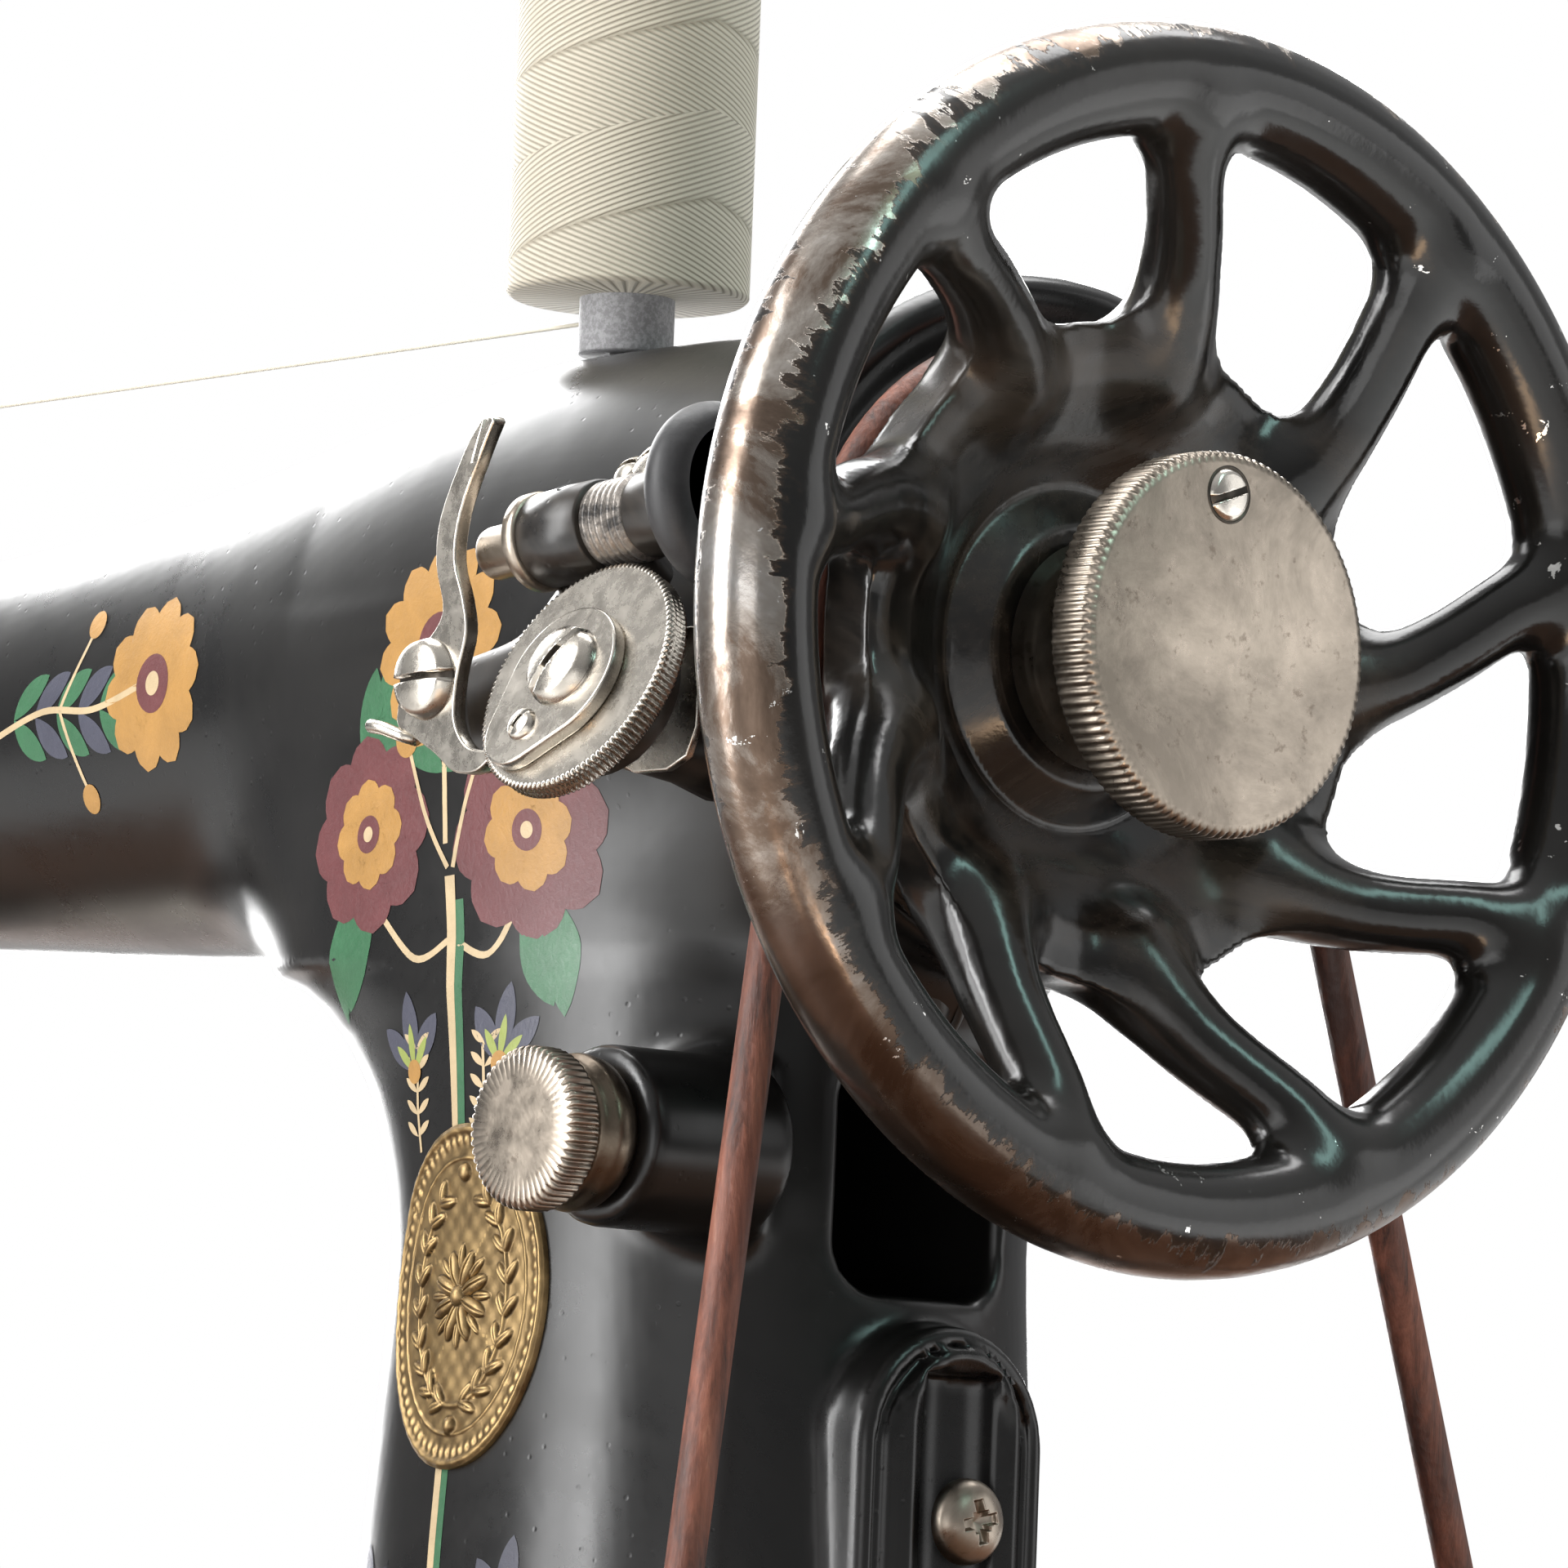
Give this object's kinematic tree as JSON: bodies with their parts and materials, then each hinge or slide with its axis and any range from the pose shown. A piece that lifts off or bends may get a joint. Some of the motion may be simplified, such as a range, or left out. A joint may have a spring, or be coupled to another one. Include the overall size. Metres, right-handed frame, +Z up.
{
  "type": "treadle sewing machine",
  "caption": "Antique household sewing machine on a cast-iron treadle stand with wooden table, drawers, belt drive, hand wheel and bobbin winder.",
  "frame": {"origin": "on the floor, under the middle of the table", "axes": "+Z up, +X towards the hand wheel, +Y away from the operator"},
  "size_m": [0.86, 0.43, 1.049],
  "materials": {
    "cast_black": "satin",
    "japan_enamel": "gloss",
    "steel": "satin",
    "nickel": "satin",
    "bronze_dark": "satin",
    "brass": "satin",
    "wood": "satin",
    "leather": "matte",
    "rubber_black": "matte",
    "cotton": "matte",
    "spool_plastic": "matte"
  },
  "bodies": {
    "stand": {"arm_casting": "japan_enamel", "badge": "brass", "band_wheel_stud": "steel", "bed_casting": "japan_enamel", "drawer_case_left": "wood", "drawer_case_right": "wood", "dress_guard": "cast_black", "face_plate": "nickel", "foot_glides": "cast_black", "head_hinges": "steel", "head_screws": "nickel", "leather_belt": "leather", "left_leg": "cast_black", "needle_plate": "nickel", "rear_brace": "cast_black", "rear_cover": "nickel", "regulator_collar": "bronze_dark", "right_leg": "cast_black", "spool_pin": "steel", "stand_bolts": "steel", "table_top": "wood", "tension_discs": "nickel", "thread_guides": "nickel", "treadle_axle": "steel", "upper_thread": "cotton", "winder_bracket": "nickel"},
    "band_wheel": {"band_wheel": "cast_black", "crank_pin": "steel"},
    "pitman": {"pitman_rod": "wood"},
    "treadle": {"treadle_plate": "cast_black"},
    "hand_wheel": {"handwheel": "japan_enamel", "arm_shaft": "steel"},
    "clutch_knob": {"clutch_knob": "nickel", "clutch_stop_screw": "nickel"},
    "needle_bar": {"needle_bar": "nickel", "needle": "steel"},
    "presser_bar": {"presser_bar": "nickel", "presser_foot": "nickel"},
    "presser_lifter": {"presser_lifter": "nickel"},
    "presser_screw": {"presser_screw": "nickel"},
    "take_up": {"take_up_lever": "nickel"},
    "tension_nut": {"tension_nut": "nickel"},
    "slide_plate": {"slide_plate": "nickel"},
    "feed_dog": {"feed_dog": "steel"},
    "shuttle": {"shuttle_hook": "steel", "lower_shaft": "steel"},
    "regulator": {"regulator_knob": "nickel"},
    "spool": {"spool_core": "spool_plastic", "spool_thread": "cotton"},
    "winder": {"winder_frame": "japan_enamel", "winder_screws": "nickel"},
    "winder_spindle": {"winder_spindle": "nickel", "winder_tyre": "rubber_black"},
    "winder_worm_wheel": {"winder_worm_wheel": "nickel", "winder_cam": "nickel"},
    "winder_latch": {"winder_latch": "nickel"},
    "drawer_left": {"drawer_left": "wood", "drawer_knob_left": "brass"},
    "drawer_right": {"drawer_right": "wood", "drawer_knob_right": "brass"}
  },
  "joints": [
    {"name": "band_wheel_spin", "type": "hinge", "parent": "stand", "child": "band_wheel", "pos_m": [0.2355, 0.0525, 0.4006], "axis": [1, 0, 0], "continuous": true},
    {"name": "handwheel_spin", "type": "hinge", "parent": "stand", "child": "hand_wheel", "pos_m": [0.26, 0, 0.927], "axis": [1, 0, 0], "continuous": true},
    {"name": "pitman_pivot", "type": "hinge", "parent": "band_wheel", "child": "pitman", "pos_m": [0.209, 0.0525, 0.3746], "axis": [1, 0, 0], "continuous": true},
    {"name": "treadle_rock", "type": "hinge", "parent": "stand", "child": "treadle", "pos_m": [0, -0.04, 0.095], "axis": [1, 0, 0], "range_deg": [0, 24]},
    {"name": "clutch_knob_turn", "type": "hinge", "parent": "hand_wheel", "child": "clutch_knob", "pos_m": [0.26, 0, 0.927], "axis": [1, 0, 0], "range_deg": [0, 90]},
    {"name": "needle_bar_slide", "type": "slide", "parent": "stand", "child": "needle_bar", "axis": [0, 0, -1], "range_m": [0, 0.03]},
    {"name": "presser_lift", "type": "slide", "parent": "stand", "child": "presser_bar", "axis": [0, 0, 1], "range_m": [0, 0.00699]},
    {"name": "presser_lifter_turn", "type": "hinge", "parent": "stand", "child": "presser_lifter", "pos_m": [-0.072, 0.024, 0.85], "axis": [0, 1, 0], "range_deg": [-80, 0]},
    {"name": "presser_screw_turn", "type": "hinge", "parent": "stand", "child": "presser_screw", "pos_m": [-0.072, 0.01, 0.96], "axis": [0, 0, 1], "range_deg": [-180, 180]},
    {"name": "take_up_swing", "type": "hinge", "parent": "stand", "child": "take_up", "pos_m": [-0.087, 0.001, 0.922], "axis": [1, 0, 0], "range_deg": [0, 35]},
    {"name": "tension_nut_turn", "type": "hinge", "parent": "stand", "child": "tension_nut", "pos_m": [-0.066, -0.036, 0.897], "axis": [0, 1, 0], "range_deg": [-180, 180]},
    {"name": "slide_plate_slide", "type": "slide", "parent": "stand", "child": "slide_plate", "axis": [-1, 0, 0], "range_m": [0, 0.04]},
    {"name": "feed_dog_slide", "type": "slide", "parent": "stand", "child": "feed_dog", "axis": [0, 1, 0], "range_m": [-0.0015, 0.0015]},
    {"name": "shuttle_rock", "type": "hinge", "parent": "stand", "child": "shuttle", "pos_m": [-0.08, -0.008, 0.73], "axis": [1, 0, 0], "range_deg": [-100, 100]},
    {"name": "regulator_turn", "type": "hinge", "parent": "stand", "child": "regulator", "pos_m": [0.21, -0.05, 0.867], "axis": [0, 1, 0], "range_deg": [-180, 180]},
    {"name": "spool_spin", "type": "hinge", "parent": "stand", "child": "spool", "pos_m": [0.155, 0, 0.971], "axis": [0, 0, 1], "continuous": true},
    {"name": "winder_tilt", "type": "hinge", "parent": "stand", "child": "winder", "pos_m": [0.212, -0.049, 0.902], "axis": [1, 0, 0], "range_deg": [-2.2, 0]},
    {"name": "winder_spindle_spin", "type": "hinge", "parent": "winder", "child": "winder_spindle", "pos_m": [0.1952, -0.054, 0.9366], "axis": [0.9925, 0.061, 0.1061], "continuous": true},
    {"name": "winder_worm_wheel_spin", "type": "hinge", "parent": "winder", "child": "winder_worm_wheel", "pos_m": [0.221, -0.0615, 0.9197], "axis": [0, -0.9166, 0.3998], "continuous": true},
    {"name": "winder_latch_swing", "type": "hinge", "parent": "winder", "child": "winder_latch", "pos_m": [0.1917, -0.059, 0.9212], "axis": [0, -1, 0], "range_deg": [-8, 0]},
    {"name": "drawer_left_slide", "type": "slide", "parent": "stand", "child": "drawer_left", "axis": [0, -1, 0], "range_m": [0, 0.24]},
    {"name": "drawer_right_slide", "type": "slide", "parent": "stand", "child": "drawer_right", "axis": [0, -1, 0], "range_m": [0, 0.24]}
  ],
  "couplings": [
    {"joint": "handwheel_spin", "follows": "band_wheel_spin", "ratio": 4.1333},
    {"joint": "pitman_pivot", "follows": "band_wheel_spin", "ratio": -1},
    {"joint": "presser_lift", "follows": "presser_lifter_turn", "m_per_rad": -0.005}
  ]
}
